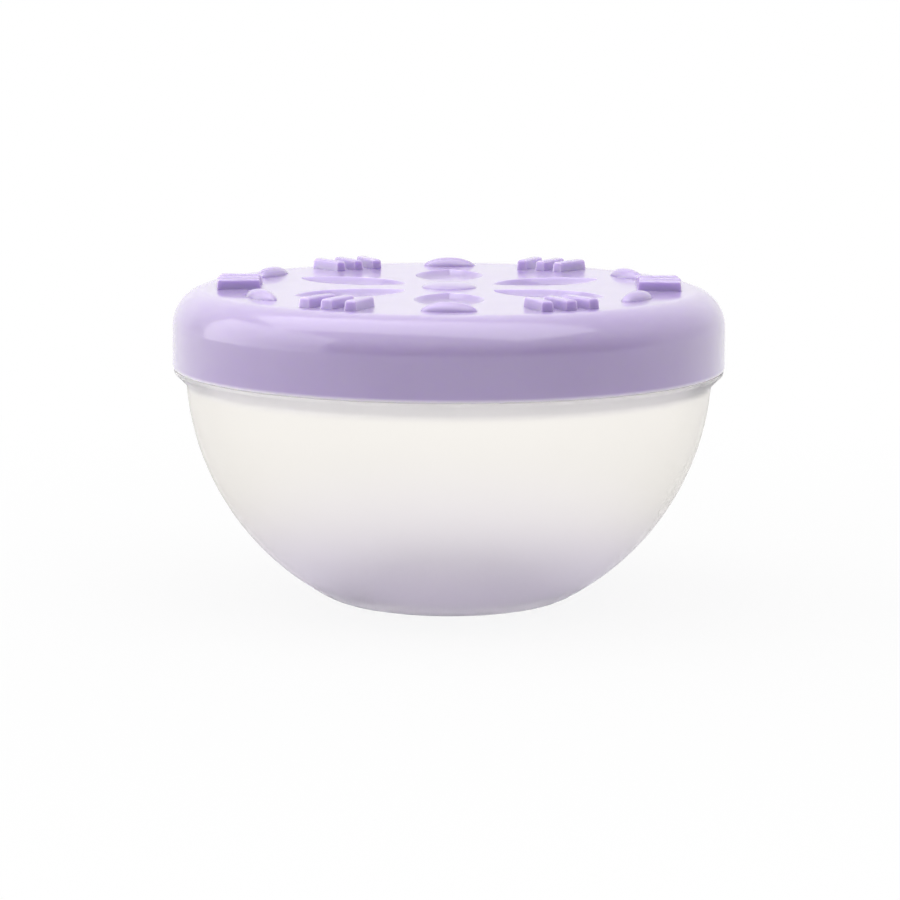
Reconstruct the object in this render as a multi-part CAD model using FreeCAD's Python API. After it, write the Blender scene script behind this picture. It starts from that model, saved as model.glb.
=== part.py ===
"""Round airtight container: translucent bowl, screw-on lavender lid and the silicone seal ring between them.

Millimetres, +Z up. The origin is the middle of the foot, on the table. The lid is drawn screwed shut.
Radii run from the lid's outside inwards: lid wall, thread, neck wall, then out again to the round body.
"""
import FreeCAD, Part
import math
import os

# Lid shell
lid_outer_radius = 60.0
lid_wall = 1.9
lid_top_wall = 2.0
skirt_height = 9.2
shoulder_run = 7.6
shoulder_rise = 8.1
skirt_edge_radius = 0.8
skirt_edge_chamfer = 0.4

# Screw thread between the neck and the lid
thread_depth = 1.3
thread_clearance = 0.4
thread_starts = 3
thread_lead = 15.0
ridge_width = 2.2
ridge_crest_width = 1.0
ridge_root_overlap = 0.4
neck_thread_margin = 1.7
lid_thread_margin = 0.8
lid_ridge_angle = 75.0
ridge_stations = 25
ridge_run_out_share = 0.14
ridge_end_depth_share = 0.12

# Bowl
neck_wall = 1.6
mouth_step = 0.8
bowl_wall = 1.6
foot_radius = 24.4
foot_width = 6.8
foot_corner_radius = 15.0
foot_wall = 2.2
base_push_up = 3.0
base_wall = 2.2
base_corner_radius = 12.0
rim_radius = 0.6
neck_foot_radius = 0.8
flange_setback = 0.3
flange_edge = 0.4
flange_below_centre = 1.0
lid_gap = 0.3

# Seal ring, its seat in the lid and the plug wall that keeps it in place
seal_thickness = 2.2
seal_fit = 0.1
seal_edge_radius = 0.4
seat_corner = 0.7
seat_cover = 3.2
plug_clearance = 0.6
plug_wall = 1.5
plug_reach = 3.0
plug_tip_radius = 0.6

# Relief on the lid's top: six sunk petals round a hub, inside a border of beads and ribs
petal_count = 6
petal_root_radius = 11.0
petal_length = 27.0
petal_width = 15.0
petal_depth = 1.5
petal_bank = 1.5
petal_floor_wall = 1.6
hub_radius = 6.0
hub_height = 1.2
border_inset = 14.2
bead_length = 12.0
bead_width = 4.6
bead_sink = 0.4
ribs_in_group = 3
rib_length = 9.5
rib_height = 2.2
rib_angle = 3.2
rib_step_angle = 6.4
rib_crest_radius = 0.6

# Tools of the drawing
overrun = 1.0
match_tolerance = 0.001

# Radii, from the lid's outside inwards and out again to the body
lid_bore_radius = lid_outer_radius - lid_wall
neck_radius = lid_bore_radius - thread_clearance - thread_depth
mouth_radius = neck_radius - neck_wall
body_inner_radius = mouth_radius + mouth_step
body_radius = body_inner_radius + bowl_wall
flange_radius = lid_outer_radius - flange_setback
seat_radius = lid_bore_radius - seat_corner
plug_radius = mouth_radius - plug_clearance
plug_inner_radius = plug_radius - plug_wall
shoulder_radius = lid_outer_radius - shoulder_run
border_radius = lid_outer_radius - border_inset

# Heights above the table
body_centre_height = math.sqrt(body_radius**2 - foot_radius**2)
flange_height = body_centre_height - flange_below_centre
skirt_edge_height = flange_height + lid_gap
skirt_top_height = skirt_edge_height + skirt_height
lid_top_height = skirt_top_height + shoulder_rise
lid_underside_height = lid_top_height - lid_top_wall


def shoulder_height_at(radius):
    """Height of the lid's outer face at a radius, on the flat top or the elliptical shoulder."""
    out_share = max(0, radius - shoulder_radius) / shoulder_run
    return skirt_top_height + shoulder_rise * math.sqrt(1 - out_share**2)


seat_height = shoulder_height_at(seat_radius) - seat_cover
rim_height = seat_height - seal_thickness
plug_tip_height = rim_height - plug_reach

# Thread: each lid ridge runs midway between two neck ridges
thread_pitch = thread_lead / thread_starts
neck_thread_start = flange_height + neck_thread_margin + ridge_width / 2
neck_thread_end = rim_height - neck_thread_margin - ridge_width / 2
neck_ridge_angle = (neck_thread_end - neck_thread_start) / thread_lead * 360
lid_thread_start = skirt_edge_height + lid_thread_margin + ridge_width / 2
lid_thread_turn = (lid_thread_start + thread_pitch / 2 - neck_thread_start) / thread_lead * 360

axis_origin = FreeCAD.Vector(0, 0, 0)
axis_up = FreeCAD.Vector(0, 0, 1)


def at(radius, height, angle=0):
    """Point at a radius and height, turned about the axis by an angle in degrees."""
    turn = math.radians(angle)
    return FreeCAD.Vector(radius * math.cos(turn), radius * math.sin(turn), height)


def polyline(*points):
    """Straight edges through the points, in order."""
    return [Part.makeLine(start, end) for start, end in zip(points, points[1:])]


def arc_about(centre, start, end):
    """Circular arc from start to end, the short way round the centre."""
    middle = (start - centre).normalize() + (end - centre).normalize()
    reach = (start - centre).Length
    return Part.Arc(start, centre + middle.normalize() * reach, end).toShape()


def quarter_ellipse(start, corner, end):
    """Quarter ellipse that leaves start and reaches end along the two sides of the corner."""
    curve = Part.BezierCurve()
    curve.setPoles([start, corner, end])
    curve.setWeight(2, math.sqrt(0.5))
    return curve.toShape()


def turned(edges):
    """Solid of revolution of a closed outline about the axis."""
    face = Part.Face(Part.Wire(edges))
    return face.revolve(axis_origin, axis_up, 360)


def circles_at(solid, *corners):
    """Round edges of a turned solid that pass through the given outline corners."""
    found = []
    for edge in solid.Edges:
        if edge.Degenerated or not isinstance(edge.Curve, Part.Circle):
            continue
        place = FreeCAD.Vector(edge.Curve.Radius, 0, edge.Curve.Center.z)
        if any(place.distanceToPoint(corner) < match_tolerance for corner in corners):
            found.append(edge)
    return found


def spun(shape, count, first_angle=0):
    """Copies of a shape, evenly spaced round the axis."""
    copies = []
    for number in range(count):
        copy = shape.copy()
        copy.rotate(axis_origin, axis_up, first_angle + number * 360 / count)
        copies.append(copy)
    return copies


def thread_ridge(wall_radius, crest_radius, start_height, angle):
    """One helical ridge on a wall, rising anticlockwise, with both ends run out into the wall."""
    outward = math.copysign(1, crest_radius - wall_radius)
    root_radius = wall_radius - outward * ridge_root_overlap
    sections = []
    for station in range(ridge_stations):
        along_share = station / (ridge_stations - 1)
        end_share = min(along_share, 1 - along_share) / ridge_run_out_share
        ramp_share = math.sin(min(1, end_share) * math.pi / 2)
        depth_share = ridge_end_depth_share + (1 - ridge_end_depth_share) * ramp_share
        crest = wall_radius + (crest_radius - wall_radius) * depth_share
        turn = angle * along_share
        height = start_height + thread_lead * turn / 360
        corners = [
            at(root_radius, height - ridge_width / 2, turn),
            at(crest, height - ridge_crest_width / 2, turn),
            at(crest, height + ridge_crest_width / 2, turn),
            at(root_radius, height + ridge_width / 2, turn),
        ]
        sections.append(Part.makePolygon(corners + corners[:1]))
    return Part.makeLoft(sections, True, False)


def make_bowl():
    """Round body on a flat foot ring, flange under the lid, and the threaded neck with its rim."""
    body_centre = at(0, body_centre_height)
    foot_inner_radius = foot_radius - foot_width
    dome_radius = (foot_inner_radius**2 + base_push_up**2) / (2 * base_push_up)
    dome_centre = at(0, base_push_up - dome_radius)

    # The floor's dome meets the body's inner sphere above the foot
    floor_height = base_push_up + base_wall
    valley_radius = math.sqrt(body_inner_radius**2 - (body_centre_height - foot_wall) ** 2)
    floor_rise = floor_height - foot_wall
    floor_radius = (valley_radius**2 + floor_rise**2) / (2 * floor_rise)
    floor_centre = at(0, floor_height - floor_radius)

    # The flange's underside slopes at 45 degrees down to the outer sphere
    flange_low_height = flange_height - flange_edge
    slope_offset = flange_radius - flange_low_height + body_centre_height
    slope_foot_radius = (slope_offset + math.sqrt(2 * body_radius**2 - slope_offset**2)) / 2
    slope_foot_height = body_centre_height + slope_foot_radius - slope_offset

    # The straight mouth runs down to the inner sphere
    mouth_foot_height = body_centre_height - math.sqrt(body_inner_radius**2 - mouth_radius**2)

    dome_top = at(0, base_push_up)
    foot_inner = at(foot_inner_radius, 0)
    foot_outer = at(foot_radius, 0)
    slope_foot = at(slope_foot_radius, slope_foot_height)
    flange_low = at(flange_radius, flange_low_height)
    flange_top = at(flange_radius, flange_height)
    neck_foot = at(neck_radius, flange_height)
    rim_outer = at(neck_radius, rim_height)
    rim_inner = at(mouth_radius, rim_height)
    mouth_foot = at(mouth_radius, mouth_foot_height)
    valley = at(valley_radius, foot_wall)
    floor_top = at(0, floor_height)

    outline = [arc_about(dome_centre, dome_top, foot_inner)]
    outline += polyline(foot_inner, foot_outer)
    outline += [arc_about(body_centre, foot_outer, slope_foot)]
    outline += polyline(slope_foot, flange_low, flange_top, neck_foot, rim_outer, rim_inner, mouth_foot)
    outline += [arc_about(body_centre, mouth_foot, valley), arc_about(floor_centre, valley, floor_top)]
    outline += polyline(floor_top, dome_top)

    bowl = turned(outline)
    bowl = bowl.makeFillet(rim_radius, circles_at(bowl, rim_outer, rim_inner))
    bowl = bowl.makeFillet(neck_foot_radius, circles_at(bowl, neck_foot))
    bowl = bowl.makeFillet(base_corner_radius, circles_at(bowl, valley))
    bowl = bowl.makeFillet(foot_corner_radius, circles_at(bowl, foot_outer))

    ridge = thread_ridge(neck_radius, neck_radius + thread_depth, neck_thread_start, neck_ridge_angle)
    return bowl.multiFuse(spun(ridge, thread_starts))


def petal_outline(width, height):
    """Pointed leaf outline of a petal on the X axis, with the shape of the full petal at any width."""
    length = petal_length * width / petal_width
    middle = petal_root_radius + petal_length / 2
    root = FreeCAD.Vector(middle - length / 2, 0, height)
    tip = FreeCAD.Vector(middle + length / 2, 0, height)
    left = FreeCAD.Vector(middle, width / 2, height)
    right = FreeCAD.Vector(middle, -width / 2, height)
    return Part.Wire([Part.Arc(root, right, tip).toShape(), Part.Arc(tip, left, root).toShape()])


def make_petal_pan():
    """Plastic under one petal that keeps the wall's thickness where the top is sunk."""
    pan_bottom = lid_top_height - petal_depth - petal_floor_wall
    pan_height = lid_top_height - lid_top_wall / 2 - pan_bottom
    return Part.Face(petal_outline(petal_width, pan_bottom)).extrude(axis_up * pan_height)


def make_petal_hollow():
    """The sunk space of one petal, with sloping banks."""
    bank_rise_share = overrun / petal_depth
    floor = petal_outline(petal_width - 2 * petal_bank, lid_top_height - petal_depth)
    mouth = petal_outline(petal_width + 2 * petal_bank * bank_rise_share, lid_top_height + overrun)
    return Part.makeLoft([floor, mouth], True, True)


def make_hub():
    """Low dome in the middle of the rosette."""
    root = lid_top_height - lid_top_wall / 2
    crest = at(0, lid_top_height + hub_height)
    edge = at(hub_radius, lid_top_height)
    corner = at(hub_radius, lid_top_height + hub_height)
    outline = [quarter_ellipse(crest, corner, edge)]
    outline += polyline(edge, at(hub_radius, root), at(0, root), crest)
    return turned(outline)


def make_bead():
    """Long round bead of the border, half sunk in the top, lying across the X axis."""
    half_length = bead_length / 2
    half_width = bead_width / 2
    end_low = FreeCAD.Vector(0, -half_length, 0)
    end_high = FreeCAD.Vector(0, half_length, 0)
    middle = FreeCAD.Vector(half_width, 0, 0)
    outline = [
        quarter_ellipse(end_low, end_low + middle, middle),
        quarter_ellipse(middle, end_high + middle, end_high),
        Part.makeLine(end_high, end_low),
    ]
    bead = Part.Face(Part.Wire(outline)).revolve(axis_origin, FreeCAD.Vector(0, -1, 0), 180)
    bead.translate(at(border_radius, lid_top_height - bead_sink))
    return bead


def make_rib():
    """One fan-shaped rib of the border on the X axis, with a rounded crest."""
    inner_radius = border_radius - rib_length / 2
    outer_radius = border_radius + rib_length / 2
    root = shoulder_height_at(outer_radius) - lid_top_wall / 2
    crest = lid_top_height + rib_height
    start = -rib_angle / 2
    end = rib_angle / 2
    inner_arc = Part.Arc(at(inner_radius, root, end), at(inner_radius, root), at(inner_radius, root, start))
    outer_arc = Part.Arc(at(outer_radius, root, start), at(outer_radius, root), at(outer_radius, root, end))
    outline = [inner_arc.toShape()]
    outline += polyline(at(inner_radius, root, start), at(outer_radius, root, start))
    outline += [outer_arc.toShape()]
    outline += polyline(at(outer_radius, root, end), at(inner_radius, root, end))
    rib = Part.Face(Part.Wire(outline)).extrude(axis_up * (crest - root))
    top_edges = [edge for edge in rib.Edges if edge.BoundBox.ZMin > crest - match_tolerance]
    return rib.makeFillet(rib_crest_radius, top_edges)


def make_lid():
    """Cap with a straight skirt and a rounded shoulder, the seal's seat, plug wall, relief and thread."""
    top_middle = at(0, lid_top_height)
    shoulder_start = at(shoulder_radius, lid_top_height)
    shoulder_corner = at(lid_outer_radius, lid_top_height)
    skirt_top = at(lid_outer_radius, skirt_top_height)
    skirt_outer = at(lid_outer_radius, skirt_edge_height)
    skirt_inner = at(lid_bore_radius, skirt_edge_height)
    bore_top = at(lid_bore_radius, seat_height - seat_corner)
    seat_outer = at(seat_radius, seat_height)
    seat_inner = at(plug_radius, seat_height)
    plug_outer = at(plug_radius, plug_tip_height)
    plug_inner = at(plug_inner_radius, plug_tip_height)
    plug_root = at(plug_inner_radius, lid_underside_height)
    underside_middle = at(0, lid_underside_height)

    outline = polyline(top_middle, shoulder_start)
    outline += [quarter_ellipse(shoulder_start, shoulder_corner, skirt_top)]
    outline += polyline(
        skirt_top, skirt_outer, skirt_inner, bore_top, seat_outer, seat_inner,
        plug_outer, plug_inner, plug_root, underside_middle, top_middle,
    )
    lid = turned(outline)
    lid = lid.makeFillet(skirt_edge_radius, circles_at(lid, skirt_outer))
    lid = lid.makeChamfer(skirt_edge_chamfer, circles_at(lid, skirt_inner))
    lid = lid.makeFillet(plug_tip_radius, circles_at(lid, plug_outer, plug_inner))

    border_angle = 360 / petal_count
    petal_angle = border_angle / 2
    lid = lid.multiFuse(spun(make_petal_pan(), petal_count, petal_angle))
    for hollow in spun(make_petal_hollow(), petal_count, petal_angle):
        lid = lid.cut(hollow)

    raised = [make_hub()]
    raised += spun(make_bead(), petal_count, petal_angle)
    for number in range(ribs_in_group):
        rib_turn = (number - (ribs_in_group - 1) / 2) * rib_step_angle
        raised += spun(make_rib(), petal_count, rib_turn)
    ridge = thread_ridge(lid_bore_radius, lid_bore_radius - thread_depth, lid_thread_start, lid_ridge_angle)
    raised += spun(ridge, thread_starts, lid_thread_turn)
    return lid.multiFuse(raised)


def make_seal_ring():
    """Flat silicone ring between the lid's seat and the bowl's rim."""
    inner_radius = plug_radius + seal_fit
    outer_radius = seat_radius - seal_fit
    low_inner = at(inner_radius, rim_height)
    low_outer = at(outer_radius, rim_height)
    high_outer = at(outer_radius, seat_height)
    high_inner = at(inner_radius, seat_height)
    ring = turned(polyline(low_inner, low_outer, high_outer, high_inner, low_inner))
    return ring.makeFillet(seal_edge_radius, circles_at(ring, low_inner, low_outer, high_outer, high_inner))


os.makedirs("parts", exist_ok=True)
for node, shape in {"bowl": make_bowl(), "lid": make_lid(), "seal_ring": make_seal_ring()}.items():
    shape.exportStep(f"parts/{node}.step")
    print(node, len(shape.Solids), "solid", shape.isValid(), round(shape.Volume), "mm3", shape.BoundBox)
print("thread lead", thread_lead, "neck ridge angle", neck_ridge_angle, "lid ridge starts at", lid_thread_turn)
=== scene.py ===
"""Round airtight container: milky translucent bowl, lavender screw lid with a rosette, seal ring.

Metres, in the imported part's own frame: +Z up, the foot's middle at the origin, the viewer at -Y.
"""
import bpy
import math
from mathutils import Matrix, Vector


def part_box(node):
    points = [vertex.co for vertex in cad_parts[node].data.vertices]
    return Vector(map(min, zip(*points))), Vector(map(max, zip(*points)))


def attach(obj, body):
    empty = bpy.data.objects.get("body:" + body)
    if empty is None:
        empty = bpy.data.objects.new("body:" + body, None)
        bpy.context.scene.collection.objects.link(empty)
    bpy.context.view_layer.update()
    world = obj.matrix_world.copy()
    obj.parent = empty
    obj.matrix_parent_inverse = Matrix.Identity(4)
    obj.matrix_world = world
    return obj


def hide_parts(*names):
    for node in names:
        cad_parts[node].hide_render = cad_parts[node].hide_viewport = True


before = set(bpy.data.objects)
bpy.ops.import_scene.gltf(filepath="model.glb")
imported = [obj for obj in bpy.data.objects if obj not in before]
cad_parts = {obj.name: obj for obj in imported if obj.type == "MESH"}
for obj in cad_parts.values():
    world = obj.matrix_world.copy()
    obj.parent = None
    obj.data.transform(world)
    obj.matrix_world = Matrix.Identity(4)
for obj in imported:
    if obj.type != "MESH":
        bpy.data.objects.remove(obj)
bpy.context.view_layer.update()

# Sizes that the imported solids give
lid_low, lid_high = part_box("lid")
_, bowl_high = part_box("bowl")
_, seal_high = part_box("seal_ring")
LID_RADIUS = lid_high.x
SKIRT_EDGE = lid_low.z
RIB_CREST = lid_high.z
FLANGE_RADIUS = bowl_high.x
RIM = bowl_high.z
SEAT = seal_high.z
SEAL_RADIUS = seal_high.x

# Lid
LID_WALL = 0.0019
LID_TOP_WALL = 0.0020
SKIRT_HEIGHT = 0.0092
SHOULDER_RUN = 0.0076
SHOULDER_RISE = 0.0081
# Height of the highlight painted as a paler band along the skirt's lower edge
PAINTED_EDGE_HIGHLIGHT = 0.0011
SEAT_CORNER = 0.0007
PLUG_CLEARANCE = 0.0006
PLUG_WALL = 0.0015
PLUG_REACH = 0.0030
SHOULDER_STEPS = 24
SKIRT_EDGE_EASE = 0.0008
BORE_EDGE_EASE = 0.0004
SEAT_EASE = 0.0003
PLUG_TIP_EASE = 0.0006
PLUG_ROOT_EASE = 0.0010
FLAT_RINGS = (0, 0.006, 0.015, 0.025, 0.034)
LID_SHARP_ANGLE = math.radians(35)
LID_BORE = LID_RADIUS - LID_WALL
SKIRT_TOP = SKIRT_EDGE + SKIRT_HEIGHT
LID_TOP = SKIRT_TOP + SHOULDER_RISE
LID_UNDERSIDE = LID_TOP - LID_TOP_WALL
SHOULDER_RADIUS = LID_RADIUS - SHOULDER_RUN

# Screw thread
THREAD_DEPTH = 0.0013
THREAD_CLEARANCE = 0.0004
THREAD_STARTS = 3
THREAD_LEAD = 0.0150
RIDGE_WIDTH = 0.0022
RIDGE_CREST_WIDTH = 0.0010
RIDGE_OVERLAP = 0.0004
NECK_THREAD_MARGIN = 0.0017
LID_THREAD_MARGIN = 0.0008
LID_RIDGE_TURNS = 75 / 360
RIDGE_STATIONS = 49
RUN_OUT_SHARE = 0.14
END_DEPTH_SHARE = 0.12

# Bowl
NECK_WALL = 0.0016
MOUTH_STEP = 0.0008
BOWL_WALL = 0.0016
FOOT_RADIUS = 0.0244
FOOT_WIDTH = 0.0068
FOOT_WALL = 0.0022
BASE_PUSH_UP = 0.0030
BASE_WALL = 0.0022
FLANGE_EDGE = 0.0004
FLANGE_MILKY_SHARE = 0.40
FOOT_MILKY_SHARE = 0.12
LID_GAP = 0.0003
FLANGE_LIFT = 0.00025
PUSH_UP_EASE = 0.0005
FOOT_EASE = 0.0034
SLOPE_EASE = 0.0009
FLANGE_LIP_EASE = 0.00019
NECK_FOOT_EASE = 0.0008
RIM_EASE = 0.0006
MOUTH_EASE = 0.0030
VALLEY_EASE = 0.0044
BOWL_SIDES = 256
BOWL_SHARP_ANGLE = math.radians(50)
NECK_RADIUS = LID_BORE - THREAD_CLEARANCE - THREAD_DEPTH
MOUTH_RADIUS = NECK_RADIUS - NECK_WALL
BODY_INNER = MOUTH_RADIUS + MOUTH_STEP
BODY_RADIUS = BODY_INNER + BOWL_WALL
BODY_CENTRE = math.sqrt(BODY_RADIUS**2 - FOOT_RADIUS**2)
FLANGE_TOP = SKIRT_EDGE - LID_GAP
PLUG_RADIUS = MOUTH_RADIUS - PLUG_CLEARANCE
PLUG_INNER = PLUG_RADIUS - PLUG_WALL
PLUG_TIP = RIM - PLUG_REACH
NECK_THREAD_START = FLANGE_TOP + NECK_THREAD_MARGIN + RIDGE_WIDTH / 2
NECK_THREAD_END = RIM - NECK_THREAD_MARGIN - RIDGE_WIDTH / 2
NECK_RIDGE_TURNS = (NECK_THREAD_END - NECK_THREAD_START) / THREAD_LEAD
LID_THREAD_START = SKIRT_EDGE + LID_THREAD_MARGIN + RIDGE_WIDTH / 2
HALF_PITCH = THREAD_LEAD / THREAD_STARTS / 2
LID_FIRST_TURN = (LID_THREAD_START + HALF_PITCH - NECK_THREAD_START) / THREAD_LEAD

# Relief on the lid's top
PETALS = 6
SECTOR = 2 * math.pi / PETALS
PETAL_ROOT = 0.0110
PETAL_LENGTH = 0.0270
PETAL_WIDTH = 0.0150
PETAL_DEPTH = 0.0015
PETAL_BANK = 0.0015
PETAL_FLOOR_WALL = 0.0016
BANK_OVERRUN = 1.2
BANK_POWER = 1.5
PAN_TAPER = 0.96
LEAF_POINTS = 96
LEAF_LEVELS = 10
HUB_RADIUS = 0.0060
HUB_HEIGHT = 0.0012
HUB_SINK = 0.00002
BORDER_INSET = 0.0142
BEAD_LENGTH = 0.0120
BEAD_WIDTH = 0.0046
BEAD_SINK = 0.0004
RIB_LENGTH = 0.0095
RIB_HALF_ANGLE = math.radians(1.6)
RIB_STEP_ANGLE = math.radians(6.4)
RIB_CREST_RADIUS = 0.0006
RIB_DRAFT = 0.00015
RIB_HEIGHT = RIB_CREST - LID_TOP
BORDER_RADIUS = LID_RADIUS - BORDER_INSET

# Seal ring
SEAL_CLEARANCE = 0.0001
SEAL_EASE = 0.0004
SEAL_SIDES = 192

# Heights on the bowl between which its colour and its milkiness change; the colour changes are painted light:
# the lid's lavender light painted in towards the bottom, and a lavender cast painted on the flange band under
# the lid
PAINTED_LID_LIGHT_START, PAINTED_LID_LIGHT_END = 0.002, 0.026
FOOT_MILK_START, FOOT_MILK_END = 0.0008, 0.0045
FLANGE_MILK_AND_PAINT_START, FLANGE_MILK_AND_PAINT_END = FLANGE_TOP - 0.0046, FLANGE_TOP - 0.0020

# Camera, as the photograph was taken
PICTURE_WIDTH_PX = 900
LID_EDGE_PX_PER_M = 4587
LID_EDGE_MIDDLE_PX = (448.8, 366.0)
CAMERA_DISTANCE = 0.8
CAMERA_ELEVATION = math.radians(7.4)
CAMERA_ROLL = math.radians(0.25)
SENSOR_WIDTH_MM = 36

# Floor, a hair under the foot so that the two faces don't coincide
FLOOR_HALF_SIZE = 6.0
FLOOR_CLEARANCE = 0.00005
FLOOR_FADE_START, FLOOR_FADE_END = 0.09, 0.30
FLOOR_DEPTH_START, FLOOR_DEPTH_END = -0.5, 0.1
FLOOR_NEAR_GLOW = 0.35
FLOOR_CAMERA_GLOW = 0.9

# Studio light: brightness of each part of the room, where 1 is white
BACKDROP_HALF_ANGLE = math.radians(42)
BACKDROP_LEVEL = 1.0
BACKDROP_FALL = 0.05
LEFT_LEVEL = 0.80
RIGHT_LEVEL = 0.82
FRONT_LEVEL = 0.02
CEILING_LEVEL = 1.0
BACKDROP_BLUR_ANGLE = math.radians(3)
FRONT_START_ANGLE, FRONT_END_ANGLE = math.radians(70), math.radians(120)
CEILING_START_ANGLE, CEILING_END_ANGLE = math.radians(8), math.radians(42)
SIDE_BLUR = 0.3
LAMP_AIM = (0, 0, 0.05)
TOP_SOFTBOX_PLACE = (-0.06, -0.12, 0.9)
TOP_SOFTBOX_SIZE = (1.8, 0.8)
TOP_SOFTBOX_WATTS = 7.2
LEFT_SOFTBOX_PLACE = (-0.9, -0.08, 0.22)
LEFT_SOFTBOX_SIZE = (1.2, 1.0)
LEFT_SOFTBOX_WATTS = 5.2


class Wire:
    """A socket in a node tree. Sums and products of wires add Math nodes; node() adds any other node."""

    def __init__(self, tree, socket=None):
        self.tree = tree
        self.socket = socket

    def node(self, kind, settings=None, inputs=None, output=0):
        """Adds a node, sets its settings, then fills its inputs with values or wires. Returns one output."""
        made = self.tree.nodes.new(kind)
        for name, value in (settings or {}).items():
            setattr(made, name, value)
        for name, value in (inputs or {}).items():
            if isinstance(value, Wire):
                self.tree.links.new(value.socket, made.inputs[name])
            else:
                made.inputs[name].default_value = value
        return Wire(self.tree, made.outputs[output])

    def math(self, operation, *values):
        """Math node of one operation on wires and numbers."""
        return self.node("ShaderNodeMath", {"operation": operation}, dict(enumerate(values)))

    def __add__(self, other):
        return self.math("ADD", self, other)

    def __radd__(self, other):
        return self.math("ADD", other, self)

    def __sub__(self, other):
        return self.math("SUBTRACT", self, other)

    def __rsub__(self, other):
        return self.math("SUBTRACT", other, self)

    def __mul__(self, other):
        return self.math("MULTIPLY", self, other)

    def __rmul__(self, other):
        return self.math("MULTIPLY", other, self)

    def __truediv__(self, other):
        return self.math("DIVIDE", self, other)

    def __pow__(self, power):
        return self.math("POWER", self, power)

    def __abs__(self):
        return self.math("ABSOLUTE", self)

    def clamp(self, low, high):
        return self.math("MINIMUM", self.math("MAXIMUM", self, low), high)

    def root(self):
        return self.math("SQRT", self.math("MAXIMUM", self, 0))

    def smooth(self, low, high):
        """0 below low, 1 above high, with a smooth step between."""
        return self.node(
            "ShaderNodeMapRange",
            {"interpolation_type": "SMOOTHSTEP"},
            {"Value": self, "From Min": low, "From Max": high, "To Min": 0, "To Max": 1},
        )


# Outlines, as lists of (radius, height)


def arc(centre, start, end, steps):
    """Points of a circular arc about a centre, the short way from start to end."""
    first = math.atan2(start[1] - centre[1], start[0] - centre[0])
    last = math.atan2(end[1] - centre[1], end[0] - centre[0])
    reach = math.dist(centre, start)
    turns = [first + (last - first) * step / steps for step in range(steps + 1)]
    return [(centre[0] + reach * math.cos(turn), centre[1] + reach * math.sin(turn)) for turn in turns]


def trimmed(points, length):
    """The polyline without its last stretch of the given length."""
    points = list(points)
    while length > 0 and len(points) > 1:
        last, before = points[-1], points[-2]
        span = math.dist(last, before)
        if span > length:
            share = length / span
            points[-1] = (last[0] + (before[0] - last[0]) * share, last[1] + (before[1] - last[1]) * share)
            return points
        points.pop()
        length -= span
    return points


def joined(stretches, eases, steps=5):
    """One outline from stretches that meet at corners, each corner eased over a length on both sides."""
    outline = list(stretches[0])
    for stretch, ease in zip(stretches[1:], eases):
        corner = stretch[0]
        before = trimmed(outline, ease)
        after = trimmed(reversed(stretch), ease)[::-1]
        a, b = before[-1], after[0]
        curve = []
        for step in range(1, steps):
            t = step / steps
            weights = ((1 - t) ** 2, 2 * t * (1 - t), t**2)
            curve.append(tuple(sum(w * p[i] for w, p in zip(weights, (a, corner, b))) for i in range(2)))
        outline = before + curve + after
    return outline


def lines(*points):
    """Straight stretches through the points, in order."""
    return [[start, end] for start, end in zip(points, points[1:])]


def lathe(name, outline, angles, strides=None):
    """Closed mesh of an outline turned about Z. A ring with stride 2 uses every second angle."""
    strides = strides or [1] * len(outline)
    verts, rings, faces = [], [], []
    for (radius, height), stride in zip(outline, strides):
        first = len(verts)
        if radius < 1e-9:
            verts.append((0, 0, height))
        else:
            verts += [(radius * math.cos(a), radius * math.sin(a), height) for a in angles[::stride]]
        rings.append(range(first, len(verts)))

    def bridge(low, high):
        count = max(len(low), len(high))
        for number in range(count):
            following = (number + 1) % count
            quad = [low[number * len(low) // count], low[following * len(low) // count]]
            quad += [high[following * len(high) // count], high[number * len(high) // count]]
            faces.append(list(dict.fromkeys(quad)))

    for low, high in zip(rings, rings[1:]):
        bridge(low, high)
    if len(rings[0]) > 1:
        bridge(rings[-1], rings[0])
    mesh = bpy.data.meshes.new(name)
    mesh.from_pydata(verts, [], faces)
    mesh.validate()
    piece = bpy.data.objects.new(name, mesh)
    bpy.context.scene.collection.objects.link(piece)
    return piece


def even_angles(count):
    return [2 * math.pi * number / count for number in range(count)]


# Node trees for the shapes


def new_tree(name, sizes):
    """Geometry tree with a geometry input and named size inputs. Returns its wire, geometry and sizes."""
    tree = bpy.data.node_groups.new(name, "GeometryNodeTree")
    tree.interface.new_socket("Geometry", in_out="OUTPUT", socket_type="NodeSocketGeometry")
    tree.interface.new_socket("Geometry", in_out="INPUT", socket_type="NodeSocketGeometry")
    for size in sizes:
        tree.interface.new_socket(size, in_out="INPUT", socket_type="NodeSocketFloat")
    entry = tree.nodes.new("NodeGroupInput")
    wires = {socket.name: Wire(tree, socket) for socket in entry.outputs if socket.name}
    return Wire(tree), wires.pop("Geometry"), wires


def end_tree(graph, geometry, material):
    """Closes a tree with Realize Instances, Set Material and the group's output."""
    solid = graph.node("GeometryNodeRealizeInstances", inputs={"Geometry": geometry})
    painted = graph.node("GeometryNodeSetMaterial", inputs={"Geometry": solid, "Material": material})
    leave = graph.tree.nodes.new("NodeGroupOutput")
    graph.tree.links.new(painted.socket, leave.inputs["Geometry"])


def grown(piece, tree, sizes, sharp_angle):
    """Runs a tree on a piece and leaves the result as its plain mesh, smooth but for its sharp edges."""
    modifier = piece.modifiers.new("shape", "NODES")
    modifier.node_group = tree
    for socket in tree.interface.items_tree:
        if socket.in_out == "INPUT" and socket.name in sizes:
            modifier[socket.identifier] = sizes[socket.name]
    depsgraph = bpy.context.evaluated_depsgraph_get()
    mesh = bpy.data.meshes.new_from_object(piece.evaluated_get(depsgraph))
    piece.modifiers.remove(modifier)
    piece.data = mesh
    mesh.name = piece.name
    mesh.shade_smooth()
    mesh.set_sharp_from_angle(angle=sharp_angle)
    return piece


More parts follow.
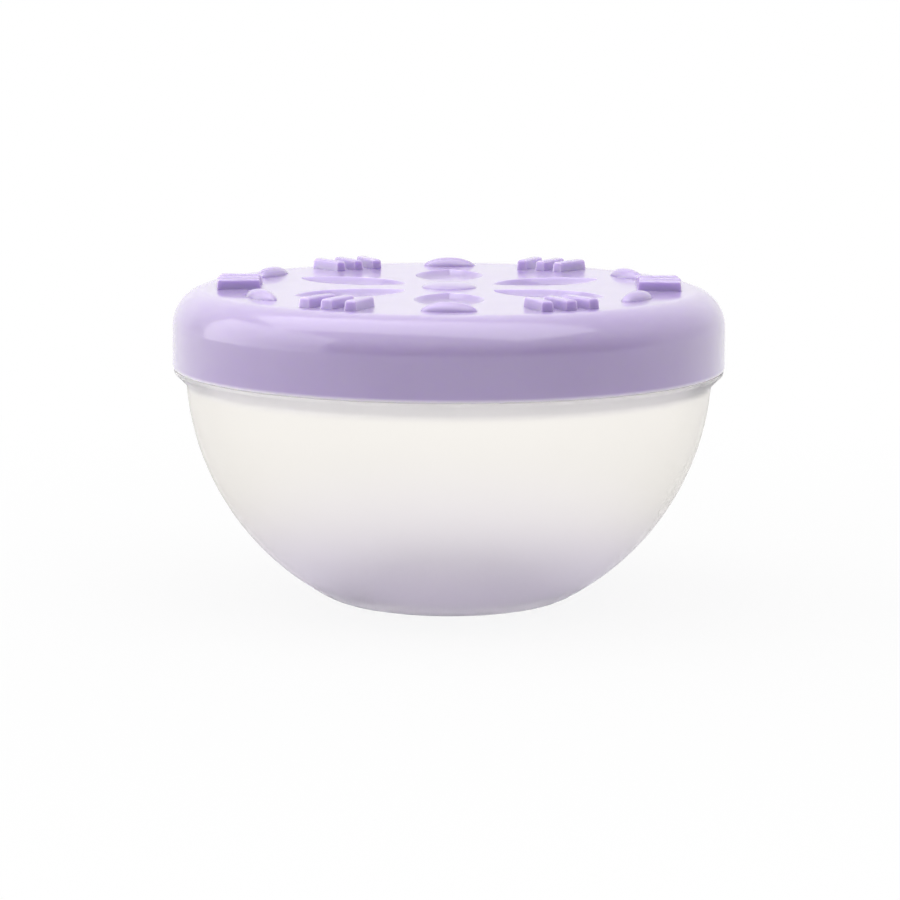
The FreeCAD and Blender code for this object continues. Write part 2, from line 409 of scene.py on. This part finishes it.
def spun(graph, shape, count, first_turn):
    """Copies of a shape, evenly spaced round the axis from a first turn."""
    points = graph.node("GeometryNodeMeshLine", inputs={"Count": count, "Offset": (0, 0, 0)})
    number = graph.node("GeometryNodeInputIndex")
    turn = (first_turn + number / count) * (2 * math.pi)
    rotation = graph.node("ShaderNodeCombineXYZ", inputs={"Z": turn})
    copies = graph.node(
        "GeometryNodeInstanceOnPoints",
        inputs={"Points": points, "Instance": shape, "Rotation": rotation},
    )
    return graph.node("GeometryNodeRealizeInstances", inputs={"Geometry": copies})


def fused(graph, solids):
    """One solid from several that overlap."""
    union = graph.node("GeometryNodeMeshBoolean", {"operation": "UNION", "solver": "MANIFOLD"})
    for solid in solids:
        graph.tree.links.new(solid.socket, union.socket.node.inputs["Mesh 2"])
    return union


def place_parts(graph):
    """X, Y and Z of a point's place."""
    place = graph.node("GeometryNodeInputPosition")
    return [graph.node("ShaderNodeSeparateXYZ", inputs={"Vector": place}, output=axis) for axis in "XYZ"]


def moved(graph, solid, x, y, z):
    """A solid with each of its points at a new place."""
    place = graph.node("ShaderNodeCombineXYZ", inputs={"X": x, "Y": y, "Z": z})
    return graph.node("GeometryNodeSetPosition", inputs={"Geometry": solid, "Position": place})


def thread_tree(name, material):
    """Adds helical ridges to a wall, evenly spaced round the axis, with both ends run out into the wall.

    Side is 1 for ridges that stand outwards and -1 for ridges that stand inwards.
    """
    inputs = ["Wall radius", "Side", "Start height", "Ridge turns", "First turn"]
    graph, wall, size = new_tree(name, inputs)
    bar = graph.node(
        "GeometryNodeMeshCube",
        inputs={"Size": (1, 1, 1), "Vertices X": RIDGE_STATIONS, "Vertices Y": 2, "Vertices Z": 2},
    )
    x, y, z = place_parts(graph)
    along = 0.5 - x * size["Side"]
    on_crest = y + 0.5
    end_share = (graph.math("MINIMUM", along, 1 - along) / RUN_OUT_SHARE).clamp(0, 1)
    ramp = graph.math("SINE", end_share * (math.pi / 2))
    rise = THREAD_DEPTH * (END_DEPTH_SHARE + (1 - END_DEPTH_SHARE) * ramp)
    radius = size["Wall radius"] + size["Side"] * (on_crest * (rise + RIDGE_OVERLAP) - RIDGE_OVERLAP)
    width = RIDGE_WIDTH + (RIDGE_CREST_WIDTH - RIDGE_WIDTH) * on_crest
    turns = size["Ridge turns"] * along
    height = size["Start height"] + turns * THREAD_LEAD + z * width
    angle = turns * (2 * math.pi)
    across, deep = graph.math("COSINE", angle), graph.math("SINE", angle)
    ridge = moved(graph, bar, radius * across, radius * deep, height)
    ridges = spun(graph, ridge, THREAD_STARTS, size["First turn"])
    end_tree(graph, fused(graph, [wall, ridges]), material)
    return graph.tree


# Materials


def new_material(name):
    material = bpy.data.materials.new(name)
    material.use_nodes = True
    material.node_tree.nodes.clear()
    return material, Wire(material.node_tree)


def finish_material(graph, shader):
    leave = graph.tree.nodes.new("ShaderNodeOutputMaterial")
    graph.tree.links.new(shader.socket, leave.inputs["Surface"])


def object_place(graph):
    return graph.node("ShaderNodeTexCoord", output="Object")


def flow_noise(graph, place, scale):
    """Soft, wide clouds, as plastic has where it flowed in the mould."""
    return graph.node(
        "ShaderNodeTexNoise", inputs={"Vector": place, "Scale": scale, "Detail": 3, "Roughness": 0.55}
    )


def blend(graph, share, start, end):
    """Colour that goes from start to end as the share goes from 0 to 1.

    Inputs 6 and 7 and output 2 are the Mix node's colours.
    """
    return graph.node("ShaderNodeMix", {"data_type": "RGBA"}, {"Factor": share, 6: start, 7: end}, output=2)


def lid_plastic():
    """Lavender polypropylene with a moulded gloss, and a highlight painted as a paler band along the skirt's
    lower edge.
    """
    material, graph = new_material("lid_lavender_plastic")
    place = object_place(graph)
    flow = flow_noise(graph, place, 26)
    grain = graph.node("ShaderNodeTexNoise", inputs={"Vector": place, "Scale": 900, "Detail": 2})
    lavender = blend(graph, flow.smooth(0.3, 0.7), (0.412, 0.332, 0.545, 1), (0.432, 0.352, 0.565, 1))
    height = graph.node("ShaderNodeSeparateXYZ", inputs={"Vector": place}, output="Z")
    # Painted highlight: a paler band along the skirt's lower edge, where light catches the rounded edge
    above_edge_highlight = height.smooth(SKIRT_EDGE, SKIRT_EDGE + PAINTED_EDGE_HIGHLIGHT)
    colour = blend(graph, above_edge_highlight, (0.80, 0.76, 0.86, 1), lavender)
    bump = graph.node("ShaderNodeBump", inputs={"Height": grain, "Strength": 0.02, "Distance": 0.0003})
    shader = graph.node(
        "ShaderNodeBsdfPrincipled",
        inputs={
            "Base Color": colour,
            "Roughness": 0.20 + 0.06 * flow,
            "Normal": bump,
            "IOR": 1.49,
            "Coat Weight": 0.75,
            "Coat Roughness": 0.07,
            "Coat IOR": 1.55,
            "Subsurface Weight": 1.0,
            "Subsurface Radius": (1.0, 0.85, 1.3),
            "Subsurface Scale": 0.003,
        },
    )
    finish_material(graph, shader)
    return material


def bowl_plastic():
    """Milky translucent polypropylene, satin, with the lid's lavender light painted into its colour towards
    the bottom and on the flange band.
    """
    material, graph = new_material("bowl_milky_plastic")
    place = object_place(graph)
    flow = flow_noise(graph, place, 18)
    height = graph.node("ShaderNodeSeparateXYZ", inputs={"Vector": place}, output="Z")
    in_flange = height.smooth(FLANGE_MILK_AND_PAINT_START, FLANGE_MILK_AND_PAINT_END)
    cream = blend(graph, flow.smooth(0.3, 0.7), (0.957, 0.943, 0.920, 1), (0.969, 0.955, 0.932, 1))
    # Painted light: the lid's lavender light, painted into the colour, stronger towards the bottom
    painted_lid_light = blend(graph, height.smooth(PAINTED_LID_LIGHT_START, PAINTED_LID_LIGHT_END), (0.96, 0.93, 1.0, 1), cream)
    # Painted light: a lavender cast on the flange band under the lid, standing in for the lid's lavender
    # light shining through it
    colour = blend(graph, in_flange, painted_lid_light, (0.97, 0.94, 0.955, 1))
    roughness = 0.46 + 0.08 * flow
    clear = graph.node(
        "ShaderNodeBsdfPrincipled",
        inputs={"Base Color": colour, "Roughness": roughness, "Transmission Weight": 1.0, "IOR": 1.08},
    )
    milky = graph.node(
        "ShaderNodeBsdfPrincipled",
        inputs={
            "Base Color": colour,
            "Roughness": roughness,
            "Subsurface Weight": 1.0,
            "Subsurface Radius": (1.0, 1.0, 1.0),
            "Subsurface Scale": 0.003,
        },
    )
    in_foot = 1 - height.smooth(FOOT_MILK_START, FOOT_MILK_END)
    milky_share = FLANGE_MILKY_SHARE * in_flange + FOOT_MILKY_SHARE * in_foot
    shader = graph.node("ShaderNodeMixShader", inputs={"Fac": milky_share, 1: clear, 2: milky})
    finish_material(graph, shader)
    return material


def seal_silicone():
    """Frosted silicone."""
    material, graph = new_material("seal_frosted_silicone")
    place = object_place(graph)
    cloud = graph.node("ShaderNodeTexNoise", inputs={"Vector": place, "Scale": 120, "Detail": 2})
    colour = blend(graph, cloud, (0.80, 0.79, 0.80, 1), (0.88, 0.87, 0.88, 1))
    shader = graph.node(
        "ShaderNodeBsdfPrincipled",
        inputs={
            "Base Color": colour,
            "Roughness": 0.5 + 0.1 * cloud,
            "Subsurface Weight": 0.3,
            "Subsurface Scale": 0.001,
        },
    )
    finish_material(graph, shader)
    return material


# Pieces


def bowl_outline():
    """Round body on a flat foot ring, flange under the lid, straight neck and rim, then the inside."""
    centre = (0, BODY_CENTRE)
    foot_inner = FOOT_RADIUS - FOOT_WIDTH
    dome_radius = (foot_inner**2 + BASE_PUSH_UP**2) / (2 * BASE_PUSH_UP)
    dome_centre = (0, BASE_PUSH_UP - dome_radius)
    floor_height = BASE_PUSH_UP + BASE_WALL
    valley = (math.sqrt(BODY_INNER**2 - (BODY_CENTRE - FOOT_WALL) ** 2), FOOT_WALL)
    floor_rise = floor_height - FOOT_WALL
    floor_radius = (valley[0] ** 2 + floor_rise**2) / (2 * floor_rise)
    floor_centre = (0, floor_height - floor_radius)
    flange_low = FLANGE_TOP - FLANGE_EDGE
    flange_top = FLANGE_TOP + FLANGE_LIFT
    slope_offset = FLANGE_RADIUS - flange_low + BODY_CENTRE
    slope_radius = (slope_offset + math.sqrt(2 * BODY_RADIUS**2 - slope_offset**2)) / 2
    slope_foot = (slope_radius, BODY_CENTRE + slope_radius - slope_offset)
    mouth_foot = (MOUTH_RADIUS, BODY_CENTRE - math.sqrt(BODY_INNER**2 - MOUTH_RADIUS**2))
    stretches = [arc(dome_centre, (0, BASE_PUSH_UP), (foot_inner, 0), 10)]
    stretches += lines((foot_inner, 0), (FOOT_RADIUS, 0))
    stretches += [arc(centre, (FOOT_RADIUS, 0), slope_foot, 60)]
    stretches += lines(
        slope_foot, (FLANGE_RADIUS, flange_low), (FLANGE_RADIUS, flange_top), (NECK_RADIUS, flange_top),
        (NECK_RADIUS, RIM), (MOUTH_RADIUS, RIM), mouth_foot,
    )
    stretches += [arc(centre, mouth_foot, valley, 56), arc(floor_centre, valley, (0, floor_height), 14)]
    eases = [PUSH_UP_EASE, FOOT_EASE, SLOPE_EASE, FLANGE_LIP_EASE, FLANGE_LIP_EASE]
    eases += [NECK_FOOT_EASE, RIM_EASE, RIM_EASE, MOUTH_EASE, VALLEY_EASE]
    return joined(stretches, eases)


def make_bowl():
    bowl = lathe("bowl_shell", bowl_outline(), even_angles(BOWL_SIDES))
    thread = {
        "Wall radius": NECK_RADIUS,
        "Side": 1,
        "Start height": NECK_THREAD_START,
        "Ridge turns": NECK_RIDGE_TURNS,
        "First turn": 0,
    }
    grown(bowl, thread_tree("neck_thread", bowl_plastic()), thread, BOWL_SHARP_ANGLE)
    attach(bowl, "bowl")
    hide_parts("bowl")


def relief_angles():
    """Angles round the lid, close together where ribs stand."""
    side_shares = (1.0, 0.88, 0.84, 0.76, 0.60, 0.35, 0.0)
    half = math.degrees(RIB_HALF_ANGLE)
    degrees = set()
    for rib in (-1, 0, 1):
        middle = math.degrees(RIB_STEP_ANGLE) * rib
        for sign in (-1, 1):
            degrees |= {round(middle + sign * share * half, 6) for share in (*side_shares, 1.5)}
    clear = math.degrees(RIB_STEP_ANGLE) + 2 * half
    span = math.degrees(SECTOR) / 2 - clear
    steps = 9
    for sign in (-1, 1):
        degrees |= {round(sign * (clear + span * step / steps), 6) for step in range(steps + 1)}
    one_sector = sorted(degrees)[:-1]
    return [math.radians(degree) + SECTOR * sector for sector in range(PETALS) for degree in one_sector]


def rib_radii():
    """Radii of the rings that shape the ribs, from the inner end out."""
    start = BORDER_RADIUS - RIB_LENGTH / 2
    end = BORDER_RADIUS + RIB_LENGTH / 2
    edge_steps = (0, 0.00015, 0.0002, 0.0003, 0.0005, 0.00075)
    radii = [start - 0.0008, *(start + step for step in edge_steps), BORDER_RADIUS]
    return radii + [*(end - step for step in reversed(edge_steps)), end + 0.0002]


def lid_top_at(radius):
    """Height of the smooth lid, before its relief, at a radius."""
    out = max(0, radius - SHOULDER_RADIUS) / SHOULDER_RUN
    return SKIRT_TOP + SHOULDER_RISE * math.sqrt(1 - out**2)


def lid_outline():
    """Flat top and shoulder, skirt, then the inside: bore, seal seat, plug wall and underside."""
    top = [(radius, lid_top_at(radius)) for radius in (*FLAT_RINGS, *rib_radii())]
    for step in range(SHOULDER_STEPS + 1):
        turn = math.pi / 2 * step / SHOULDER_STEPS
        radius = SHOULDER_RADIUS + SHOULDER_RUN * math.sin(turn)
        top.append((radius, SKIRT_TOP + SHOULDER_RISE * math.cos(turn)))
    skirt = lines((LID_RADIUS, SKIRT_TOP), (LID_RADIUS, SKIRT_EDGE), (LID_BORE, SKIRT_EDGE))
    outside = joined([top, *skirt], [0, SKIRT_EDGE_EASE])
    middle = (LID_BORE + LID_RADIUS) / 2
    outside[-1] = (middle, SKIRT_EDGE)
    seat_radius = LID_BORE - SEAT_CORNER
    underside_radii = (PLUG_INNER, 0.045, *reversed(FLAT_RINGS))
    underside = [(radius, LID_UNDERSIDE) for radius in underside_radii]
    stretches = lines(
        (middle, SKIRT_EDGE), (LID_BORE, SKIRT_EDGE), (LID_BORE, SEAT - SEAT_CORNER), (seat_radius, SEAT),
        (PLUG_RADIUS, SEAT), (PLUG_RADIUS, PLUG_TIP), (PLUG_INNER, PLUG_TIP), (PLUG_INNER, LID_UNDERSIDE),
    )
    eases = [BORE_EDGE_EASE, SEAT_EASE, SEAT_EASE, SEAT_EASE, PLUG_TIP_EASE, PLUG_TIP_EASE, PLUG_ROOT_EASE]
    inside = joined([*stretches, underside], eases)
    return outside, inside[1:]


def leaf(graph, low, high, low_scale, high_scale, power):
    """Solid with a petal's outline, on the X axis, that widens from its low end to its high end.

    A power above 1 eases its slope in from the low end.
    """
    arc_radius = (PETAL_LENGTH**2 + PETAL_WIDTH**2) / (4 * PETAL_WIDTH)
    tube = graph.node(
        "GeometryNodeMeshCylinder",
        inputs={"Vertices": LEAF_POINTS, "Side Segments": LEAF_LEVELS, "Radius": 1, "Depth": 1},
    )
    x, y, z = place_parts(graph)
    rise = z + 0.5
    scale = low_scale + (high_scale - low_scale) * rise
    along = x * (PETAL_LENGTH / 2)
    across = (arc_radius**2 - along**2).root() - (arc_radius - PETAL_WIDTH / 2)
    side = graph.math("SIGN", y)
    middle = PETAL_ROOT + PETAL_LENGTH / 2
    height = low + (high - low) * rise**power
    return moved(graph, tube, along * scale + middle, across * side * scale, height)


def dome(graph, radius, half_width, half_length, height, centre_height, root):
    """Upper part of an ellipsoid on the X axis, cut off flat at a root below its centre."""
    ball = graph.node("GeometryNodeMeshUVSphere", inputs={"Segments": 48, "Rings": 24, "Radius": 1})
    x, y, z = place_parts(graph)
    low = graph.math("MAXIMUM", z * height, -root)
    return moved(graph, ball, x * half_width + radius, y * half_length, low + centre_height)


def relief_tree(material):
    """Raises ribs, beads and hub on the lid's top, sinks the petals and sets their pans under the top."""
    graph, lid, size = new_tree("lid_relief", ["Rib height", "Bead width", "Petal depth", "Hub height"])
    x, y, z = place_parts(graph)
    radius = (x**2 + y**2).root()
    from_ribs = graph.math("PINGPONG", graph.math("ARCTAN2", y, x), SECTOR / 2)
    rib_turn = graph.math("MINIMUM", from_ribs, abs(from_ribs - RIB_STEP_ANGLE))
    rib_side = (RIB_HALF_ANGLE - rib_turn) * BORDER_RADIUS
    rib_end = RIB_LENGTH / 2 - abs(radius - BORDER_RADIUS)
    rib_in = graph.math("MINIMUM", rib_side, rib_end)
    rib_wall = (rib_in / RIB_DRAFT).clamp(0, 1) * (size["Rib height"] - RIB_CREST_RADIUS)
    round_in = RIB_CREST_RADIUS - (rib_in - RIB_DRAFT).clamp(0, RIB_CREST_RADIUS)
    rib = rib_wall + (RIB_CREST_RADIUS**2 - round_in**2).root()
    on_top = graph.math("GREATER_THAN", z, LID_TOP - LID_TOP_WALL * 0.75)
    ribbed = moved(graph, lid, x, y, z + on_top * rib)

    half_turn = 0.5 / PETALS
    root = LID_TOP_WALL / 2
    half_width = size["Bead width"] / 2
    bead = dome(graph, BORDER_RADIUS, half_width, BEAD_LENGTH / 2, half_width, LID_TOP - BEAD_SINK, root)
    hub = dome(graph, 0, HUB_RADIUS, HUB_RADIUS, size["Hub height"], LID_TOP - HUB_SINK, root)
    floor = LID_TOP - size["Petal depth"]
    pan = leaf(graph, floor - PETAL_FLOOR_WALL, LID_TOP - root, PAN_TAPER, 1, 1)
    floor_scale = 1 - 2 * PETAL_BANK / PETAL_WIDTH
    mouth_scale = floor_scale + (1 - floor_scale) * BANK_OVERRUN
    mouth = floor + size["Petal depth"] * BANK_OVERRUN**BANK_POWER
    hollow = leaf(graph, floor, mouth, floor_scale, mouth_scale, BANK_POWER)
    raised = [ribbed, hub, spun(graph, bead, PETALS, half_turn), spun(graph, pan, PETALS, half_turn)]
    sunk = graph.node(
        "GeometryNodeMeshBoolean",
        {"operation": "DIFFERENCE", "solver": "MANIFOLD"},
        {"Mesh 1": fused(graph, raised), "Mesh 2": spun(graph, hollow, PETALS, half_turn)},
    )
    end_tree(graph, sunk, material)
    return graph.tree


def make_lid():
    outside, inside = lid_outline()
    strides = [2] * len(inside) + [1] * len(outside)
    upward = [*reversed(inside), *reversed(outside)]
    lid = lathe("lid_cap", upward, relief_angles(), strides)
    plastic = lid_plastic()
    relief = {
        "Rib height": RIB_HEIGHT,
        "Bead width": BEAD_WIDTH,
        "Petal depth": PETAL_DEPTH,
        "Hub height": HUB_HEIGHT,
    }
    grown(lid, relief_tree(plastic), relief, LID_SHARP_ANGLE)
    thread = {
        "Wall radius": LID_BORE,
        "Side": -1,
        "Start height": LID_THREAD_START,
        "Ridge turns": LID_RIDGE_TURNS,
        "First turn": LID_FIRST_TURN,
    }
    grown(lid, thread_tree("lid_thread", plastic), thread, LID_SHARP_ANGLE)
    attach(lid, "lid")
    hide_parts("lid")


def make_seal_ring():
    inner = PLUG_RADIUS + SEAL_CLEARANCE
    ring = lines((inner, RIM), (SEAL_RADIUS, RIM), (SEAL_RADIUS, SEAT), (inner, SEAT), (inner, RIM))
    outline = joined(ring, [SEAL_EASE] * 3)
    seal = lathe("seal_ring_silicone", outline[:-1], even_angles(SEAL_SIDES))
    seal.data.materials.append(seal_silicone())
    seal.data.shade_smooth()
    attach(seal, "seal_ring")
    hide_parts("seal_ring")


# Studio


def seen_directly(graph):
    """1 for rays from the camera, and for those that a gloss or a clear wall sends on."""
    rays = ("Is Camera Ray", "Is Glossy Ray", "Is Transmission Ray")
    camera, glossy, through = [graph.node("ShaderNodeLightPath", output=ray) for ray in rays]
    return (camera + glossy + through).clamp(0, 1)


def make_floor():
    """Pale floor with the container's soft shadow, which fades to white further out."""
    material, graph = new_material("pale_floor")
    camera = graph.node("ShaderNodeLightPath", output="Is Camera Ray")
    place = object_place(graph)
    reach = graph.node("ShaderNodeVectorMath", {"operation": "LENGTH"}, {0: place}, output="Value")
    depth = graph.node("ShaderNodeSeparateXYZ", inputs={"Vector": place}, output="Y")
    outer = reach.smooth(FLOOR_FADE_START, FLOOR_FADE_END)
    far = seen_directly(graph) * outer * depth.smooth(FLOOR_DEPTH_START, FLOOR_DEPTH_END)
    glow = graph.node("ShaderNodeEmission", inputs={"Color": (1, 1, 1, 1), "Strength": 1.0})
    paint = graph.node("ShaderNodeBsdfDiffuse", inputs={"Color": (0.6, 0.6, 0.6, 1)})
    near = FLOOR_NEAR_GLOW * seen_directly(graph)
    seen = camera * (FLOOR_CAMERA_GLOW + (1 - FLOOR_CAMERA_GLOW) * outer)
    share = graph.math("MAXIMUM", graph.math("MAXIMUM", far, near), seen)
    floor_mix = graph.node("ShaderNodeMixShader", inputs={"Fac": share, 1: paint, 2: glow})
    finish_material(graph, floor_mix)
    corners = [(-1, -1), (1, -1), (1, 1), (-1, 1)]
    verts = [(FLOOR_HALF_SIZE * x, FLOOR_HALF_SIZE * y, -FLOOR_CLEARANCE) for x, y in corners]
    mesh = bpy.data.meshes.new("floor")
    mesh.from_pydata(verts, [], [range(len(verts))])
    floor = bpy.data.objects.new("floor", mesh)
    bpy.context.scene.collection.objects.link(floor)
    mesh.materials.append(material)


def make_world():
    """White studio: white backdrop behind, bright above, and dimmer towards the viewer."""
    world = bpy.data.worlds.new("studio")
    world.use_nodes = True
    world.node_tree.nodes.clear()
    graph = Wire(world.node_tree)
    camera = graph.node("ShaderNodeLightPath", output="Is Camera Ray")
    towards = graph.node("ShaderNodeTexCoord", output="Generated")
    x, y, z = [graph.node("ShaderNodeSeparateXYZ", inputs={"Vector": towards}, output=axis) for axis in "XYZ"]
    from_back = graph.math("ARCTAN2", abs(x), y)
    right = x.smooth(-SIDE_BLUR, SIDE_BLUR)
    front = from_back.smooth(FRONT_START_ANGLE, FRONT_END_ANGLE)
    open_sides = from_back.smooth(BACKDROP_HALF_ANGLE, BACKDROP_HALF_ANGLE + BACKDROP_BLUR_ANGLE)
    above = z.smooth(math.sin(CEILING_START_ANGLE), math.sin(CEILING_END_ANGLE))
    level = LEFT_LEVEL + (RIGHT_LEVEL - LEFT_LEVEL) * right
    level = level + (FRONT_LEVEL - level) * front
    backdrop = BACKDROP_LEVEL - BACKDROP_FALL * right
    level = backdrop + (level - backdrop) * open_sides
    level = level + (CEILING_LEVEL - level) * above
    level = level + (1 - level) * camera
    back = graph.node("ShaderNodeBackground", inputs={"Color": (1, 1, 1, 1), "Strength": level})
    leave = graph.tree.nodes.new("ShaderNodeOutputWorld")
    graph.tree.links.new(back.socket, leave.inputs["Surface"])
    bpy.context.scene.world = world


def make_lamp(name, place, size, power):
    """Softbox that looks at the container."""
    data = bpy.data.lights.new(name, "AREA")
    data.shape = "RECTANGLE"
    data.size, data.size_y = size
    data.energy = power
    lamp = bpy.data.objects.new(name, data)
    lamp.location = place
    lamp.rotation_euler = (Vector(LAMP_AIM) - Vector(place)).to_track_quat("-Z", "Y").to_euler()
    bpy.context.scene.collection.objects.link(lamp)


def make_camera():
    """Long lens level with the table's edge, with the lid's lower edge where the photograph has it."""
    data = bpy.data.cameras.new("camera")
    data.sensor_width = SENSOR_WIDTH_MM
    data.lens = SENSOR_WIDTH_MM * LID_EDGE_PX_PER_M * CAMERA_DISTANCE / PICTURE_WIDTH_PX
    data.shift_x = 0.5 - LID_EDGE_MIDDLE_PX[0] / PICTURE_WIDTH_PX
    data.shift_y = LID_EDGE_MIDDLE_PX[1] / PICTURE_WIDTH_PX - 0.5
    data.clip_start, data.clip_end = 0.05, 50
    camera = bpy.data.objects.new("camera", data)
    back = Vector((0, -math.cos(CAMERA_ELEVATION), math.sin(CAMERA_ELEVATION)))
    camera.location = Vector((0, 0, SKIRT_EDGE)) + back * CAMERA_DISTANCE
    turn = (-back).to_track_quat("-Z", "Y").to_matrix() @ Matrix.Rotation(CAMERA_ROLL, 3, "Z")
    camera.rotation_euler = turn.to_euler()
    bpy.context.scene.collection.objects.link(camera)
    bpy.context.scene.camera = camera


make_bowl()
make_lid()
make_seal_ring()
make_floor()
make_world()
make_lamp("top_softbox", TOP_SOFTBOX_PLACE, TOP_SOFTBOX_SIZE, TOP_SOFTBOX_WATTS)
make_lamp("left_softbox", LEFT_SOFTBOX_PLACE, LEFT_SOFTBOX_SIZE, LEFT_SOFTBOX_WATTS)
make_camera()
bpy.context.scene.view_settings.view_transform = "Standard"
